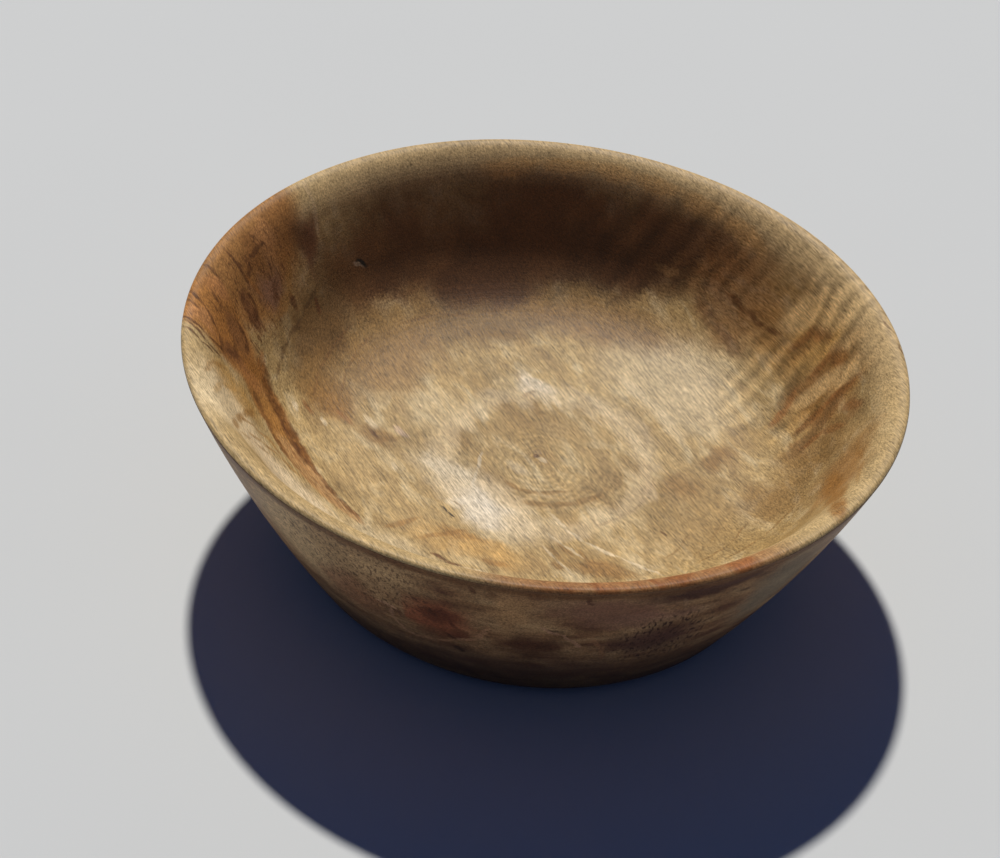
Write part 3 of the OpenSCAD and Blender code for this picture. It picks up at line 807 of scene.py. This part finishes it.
class Maple(Finish):
    """Oiled figured maple: what its inside and outside have in common."""

    def __init__(self, name):
        super().__init__(name, rough=0.46, specular=0.15)
        self.radius = self.distance(self.x / (1 + OVAL), self.y / (1 - OVAL))
        self.angle = self.azimuth()
        turn = math.radians(GRAIN_TURN)
        self.streaks = self.noise(self.stretched(self.place, 4.2, 0.28, 0.28, GRAIN_TURN),
                                  detail=3, roughness=0.65)
        self.mottle = self.noise(self.stretched(self.place, 9, 4, 4, GRAIN_TURN),
                                 detail=3, distortion=0.6)
        self.pores = self.noise(self.stretched(self.place, 1.6, 0.16, 0.16, GRAIN_TURN), detail=1)
        along = self.x * math.cos(turn) + self.y * math.sin(turn)
        waver = self.noise(self.place, 16, detail=1)
        waves = self.sum("SINE", along * (math.tau / CURL) + waver * 11 + self.streaks * 1.6)
        self.curl = waves * self.ease(self.noise(self.place, 8, detail=1), 0.34, 0.54)
        shift = (self.streaks - 0.5) * 2.6
        self.fringe = self.join(shift * math.cos(turn), shift * math.sin(turn))
        self.broken = self.ease(self.noise(self.place, 1.3, detail=1), 0.3, 0.62, 0.75, 1.0)

    def flat(self, at):
        """The same point in plan."""
        return self.move("MULTIPLY", at, (1, 1, 0))

    def oiled(self, colour):
        """Fibres, pores and the satin sheen over the colour of the figure."""
        fleck = self.noise(self.stretched(self.place, 1.1, 0.4, 0.4, GRAIN_TURN), detail=3)
        cloudy = self.noise(self.stretched(self.place, 16, 8, 8, GRAIN_TURN), detail=4, distortion=1.2)
        # the last number brings the level back to about 1 on average
        colour = self.shade(colour, self.streaks * 1.9 + fleck * 1.2 + cloudy * 0.7 - 0.87)
        colour = self.shade(colour, self.ease(self.pores, 0.3, 0.56, 0.8, 1.05))
        turned = self.noise(self.join(self.radius, self.z), 0.6, detail=2)
        rough = 0.40 + self.mottle * 0.08 + self.streaks * 0.08
        return self.finish(colour, rough, [(self.streaks, 0.05), (self.pores, 0.03), (turned, 0.03)])


def inside_maple(across, up):
    """Dish, inner wall and rolled lip in one zone of the plan."""
    wood = Maple("figured_maple_in_%d_%d" % (across, up))
    spans = (zone_span(INSIDE_X, across), zone_span(INSIDE_Y, up))
    plan = wood.join(wood.x, wood.y)
    clouded = wood.flat(wood.drift(wood.move("ADD", plan, wood.fringe), 5, 3.2, 3))
    drawn = wood.flat(wood.drift(plan, 2.2, 0.6))

    # ground tone, paler toward the lip, then the large areas
    tone = wood.ramp(wood.mottle, (0.3, (0.30, 0.19, 0.075)), (0.5, HONEY),
                     (0.68, (0.52, 0.385, 0.2)))
    tone = wood.paint(tone, (0.50, 0.34, 0.15), wood.ease(wood.radius, 57, 61, 0, 0.8))
    tone = bowl_clouds(wood, tone, clouded, INSIDE_CLOUDS, spans)
    if up == len(INSIDE_Y):
        # pale wood with painted light: the back of the lip is paler, as where light grazes it
        pale_lip_and_painted_light = wood.ease(wood.radius, 57.4, 60.6, 0, 0.85) * wood.ease(wood.y, 10, 34)
        tone = wood.paint(tone, (0.48, 0.325, 0.15), pale_lip_and_painted_light)
    tone = bowl_clouds(wood, tone, drawn, INSIDE_INLAYS, spans, 0.3)
    if across == 0:
        # the red wall and its dark flecks
        tone = bowl_clouds(wood, tone, clouded, RED_WALL_CLOUDS, spans)
        flecks = wood.noise(wood.stretched(drawn, 1.5, 0.55, 1, -8), detail=2, distortion=1.0)
        flecked = wood.patch(clouded, (-58.5, -3), (7, 21), 0, 0.5, 0.75)
        tone = wood.paint(tone, (0.11, 0.042, 0.016), wood.ease(flecks, 0.54, 0.64) * flecked)
    tone = bowl_lines(wood, tone, drawn, INSIDE_LINES, spans, wood.broken)
    tone = bowl_lines(wood, tone, drawn, INSIDE_PALE_MARKS_AND_HIGHLIGHTS, spans, wood.broken)
    if across >= 3:
        # stipple on the right of the floor
        pits = wood.dots(wood.place, 1.5, 0.42)
        stipple = wood.patch(clouded, (31, -2), (12, 14), 0, 0.6, 0.5)
        tone = wood.paint(tone, UMBER, pits * stipple)
    # curl, strong at the back right and along the back, weak elsewhere
    curly = wood.most(wood.patch(clouded, (40, 34), (20, 18), -40, 0.6, 0.24),
                      wood.patch(clouded, (8, 51), (26, 9), 0, 0.6, 0.22))
    tone = wood.shade(tone, 1 + wood.curl * (curly + 0.035))
    # a brown and a pale ring round the middle of the floor, and fine turning rings
    out = wood.distance(wood.x - 2, wood.y + 1) + (wood.mottle - 0.5) * 9
    brown_ring = wood.ease(out, 6.5, 10.5) * wood.ease(out, 16, 12)
    tone = wood.paint(tone, (0.27, 0.16, 0.058), brown_ring * 0.22)
    pale_ring = wood.ease(out, 15, 18) * wood.ease(out, 23, 20)
    tone = wood.paint(tone, CREAM, pale_ring * 0.35)
    ringed = wood.patch(clouded, (5, -2), (19, 17), 0, 0.6, 0.11)
    rings = wood.distance(wood.x - 2, wood.y + 3) + wood.mottle * 4
    tone = wood.shade(tone, 1 + wood.sum("SINE", rings * (math.tau / 1.35)) * ringed)
    # red stretch of the lip at the front right
    red_lip = (wood.ease(wood.angle, -84, -66) * wood.ease(wood.angle, -22, -34)
               * wood.ease(wood.radius, 60.4, 61.4) * wood.ease(wood.z, 45.4, 46.4))
    tone = wood.paint(tone, (0.27, 0.1, 0.03), red_lip * (0.3 + 1.1 * wood.mottle))
    # dot left by the lathe's centre
    dot = wood.ease(wood.radius, 0.8, 0.25)
    return wood.oiled(wood.paint(tone, (0.16, 0.09, 0.045), dot))


def outside_maple(across):
    """Outer wall, foot and underside in one zone round the bowl."""
    wood = Maple("figured_maple_out_%d" % across)
    spans = (zone_span(OUTSIDE_ANGLE, across), (-FAR, FAR))
    unrolled = wood.join(wood.angle, wood.z)
    smudged = wood.flat(wood.drift(unrolled, 4, 3.4, 4))
    traced = wood.flat(wood.drift(unrolled, 2, 0.9))
    banded = wood.noise(wood.stretched(wood.place, 30, 9, 3.6, GRAIN_TURN), detail=5, distortion=0.5)
    tone = wood.ramp(banded, (0.3, (0.13, 0.06, 0.03)), (0.42, (0.22, 0.115, 0.052)),
                     (0.56, (0.30, 0.175, 0.082)), (0.7, (0.40, 0.25, 0.12)))
    layers = wood.sum("SINE", (wood.z + wood.x * 0.12 + banded * 26) * (math.tau / 2.6))
    tone = wood.shade(tone, 1 - wood.ease(layers, 0.3, 1.0) * 0.16)
    tone = bowl_clouds(wood, tone, smudged, OUTSIDE_CLOUDS, spans)
    tone = bowl_lines(wood, tone, traced, OUTSIDE_LINES, spans, wood.broken)
    # end grain shows as short upright ticks
    ticks = wood.noise(wood.join(wood.angle, wood.z / 2.4), 0.6, detail=2)
    ticked = wood.most(wood.patch(smudged, (-44, 27), (12, 13), 0, 0.5, 0.85),
                       wood.patch(smudged, (-100, 37), (22, 16), 0, 0.5, 0.45))
    tone = wood.paint(tone, (0.05, 0.024, 0.015), wood.ease(ticks, 0.52, 0.62) * (ticked + 0.16))
    # darker toward the foot: painted shade, where the lower wall stands in the bowl's own shadow
    tone = wood.shade(tone, wood.ease(wood.z, 2, 30, 0.2, 1.05) + wood.curl * 0.05)
    # dark line under the lip: painted shade of the lip's rounded underside
    painted_lip_shade = wood.ease(wood.z, 45.0, 46.8, 0, 0.75) * wood.ease(wood.radius, 61.5, 63)
    return wood.oiled(wood.paint(tone, (0.12, 0.05, 0.018), painted_lip_shade))


# ---- Finishes of the base, the bearing and the fasteners ----

def base_maple():
    """Plainer oiled wood of the base disc, its grain straight."""
    wood = Finish("oiled_base_maple", rough=0.5, specular=0.4)
    rings = wood.distance(wood.y + 30 * wood.noise(wood.place, 60, detail=1), wood.z + 60)
    ring = wood.sum("SINE", rings * (math.tau / 3.4) + 2 * wood.noise(wood.place, 9))
    streaks = wood.noise(wood.stretched(wood.place, 8, 0.4, 0.4, 8), detail=2)
    tone = wood.ramp(streaks, (0.3, (0.33, 0.2, 0.1)), (0.7, (0.5, 0.34, 0.18)))
    tone = wood.shade(tone, 1 - wood.ease(ring, 0.2, 1) * 0.22)
    pores = wood.noise(wood.stretched(wood.place, 2, 0.2, 0.2, 8), detail=1)
    return wood.finish(tone, 0.45 + streaks * 0.12, [(streaks, 0.05), (pores, 0.03)])


def turned_steel(name, tone, rough, groove=0.35):
    """Steel with the fine rings that a lathe leaves, and a little dullness in patches."""
    steel = Finish(name, rough, metallic=1.0)
    radius = steel.distance(steel.x, steel.y)
    rings = steel.noise(steel.join(radius, steel.z), groove, detail=2)
    dull = steel.noise(steel.place, 6, detail=3)
    colour = steel.shade(steel.ramp(dull, (0.35, tuple(0.86 * c for c in tone)), (0.65, tone)),
                         0.93 + rings * 0.14)
    return steel.finish(colour, rough + dull * 0.1 + rings * 0.08 - 0.08, [(rings, 0.012)])


def pressed_cage():
    """Dull phosphated steel of the bearing's pressed cage."""
    cage = Finish("phosphated_cage", rough=0.42, metallic=1.0)
    dull = cage.noise(cage.place, 1.5, detail=4)
    tone = cage.ramp(dull, (0.3, (0.36, 0.33, 0.25)), (0.7, (0.52, 0.49, 0.4)))
    return cage.finish(tone, 0.34 + dull * 0.2, [(cage.noise(cage.place, 0.25), 0.01)])


def black_oxide():
    """Blackened steel of the retaining screw."""
    screw = Finish("black_oxide_steel", rough=0.38, metallic=0.6)
    worn = screw.noise(screw.place, 0.8, detail=4)
    tone = screw.ramp(worn, (0.35, (0.035, 0.035, 0.04)), (0.75, (0.12, 0.12, 0.125)))
    return screw.finish(tone, 0.3 + worn * 0.2, [(worn, 0.01)])


def yellow_zinc():
    """Passivated zinc of the wood screws, with a faint bloom."""
    screw = Finish("yellow_zinc", rough=0.32, metallic=1.0)
    bloom = screw.noise(screw.place, 1.6, detail=3)
    tone = screw.ramp(bloom, (0.3, (0.62, 0.46, 0.16)), (0.5, (0.68, 0.56, 0.28)),
                      (0.7, (0.6, 0.5, 0.36)))
    return screw.finish(tone, 0.26 + bloom * 0.16, [(screw.noise(screw.place, 0.3), 0.008)])


def pad_rubber():
    """Black sheet rubber with a fine cast of crossed ribs."""
    rubber = Finish("pad_rubber", rough=0.75, specular=0.3)
    dust = rubber.noise(rubber.place, 4, detail=4)
    pitch = 1.1
    ribs = (rubber.sum("SINE", rubber.x * math.tau / pitch)
            * rubber.sum("SINE", rubber.y * math.tau / pitch))
    tone = rubber.ramp(dust, (0.35, (0.022, 0.022, 0.023)), (0.75, (0.05, 0.049, 0.047)))
    return rubber.finish(tone, 0.68 + dust * 0.16, [(ribs, 0.08), (dust, 0.04)])


def dress_nodes():
    """Gives the CAD nodes of the base, bearing and fasteners their finishes."""
    bright = turned_steel("polished_bearing_steel", (0.72, 0.73, 0.75), 0.2, 0.2)
    plain = turned_steel("turned_steel", (0.6, 0.6, 0.61), 0.34)
    shields = turned_steel("pressed_steel_shield", (0.66, 0.66, 0.67), 0.3, 0.5)
    cage, zinc = pressed_cage(), yellow_zinc()
    finishes = {
        "base_disc": base_maple(), "non_slip_pad": pad_rubber(),
        "spindle": plain, "spacer_washer": plain, "retaining_washer": plain,
        "bearing_retainer": plain, "bearing_inner_race": bright, "bearing_outer_race": bright,
        "bearing_balls": bright, "bearing_shield_upper": shields, "bearing_shield_lower": shields,
        "cage_upper_half": cage, "cage_lower_half": cage, "cage_rivets": cage,
        "retaining_screw": black_oxide(), "flange_screws": zinc, "retainer_screws": zinc}
    for name, material in finishes.items():
        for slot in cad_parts[name].material_slots:
            slot.material = material


place_camera()
place_studio()
make_bowl()
dress_nodes()
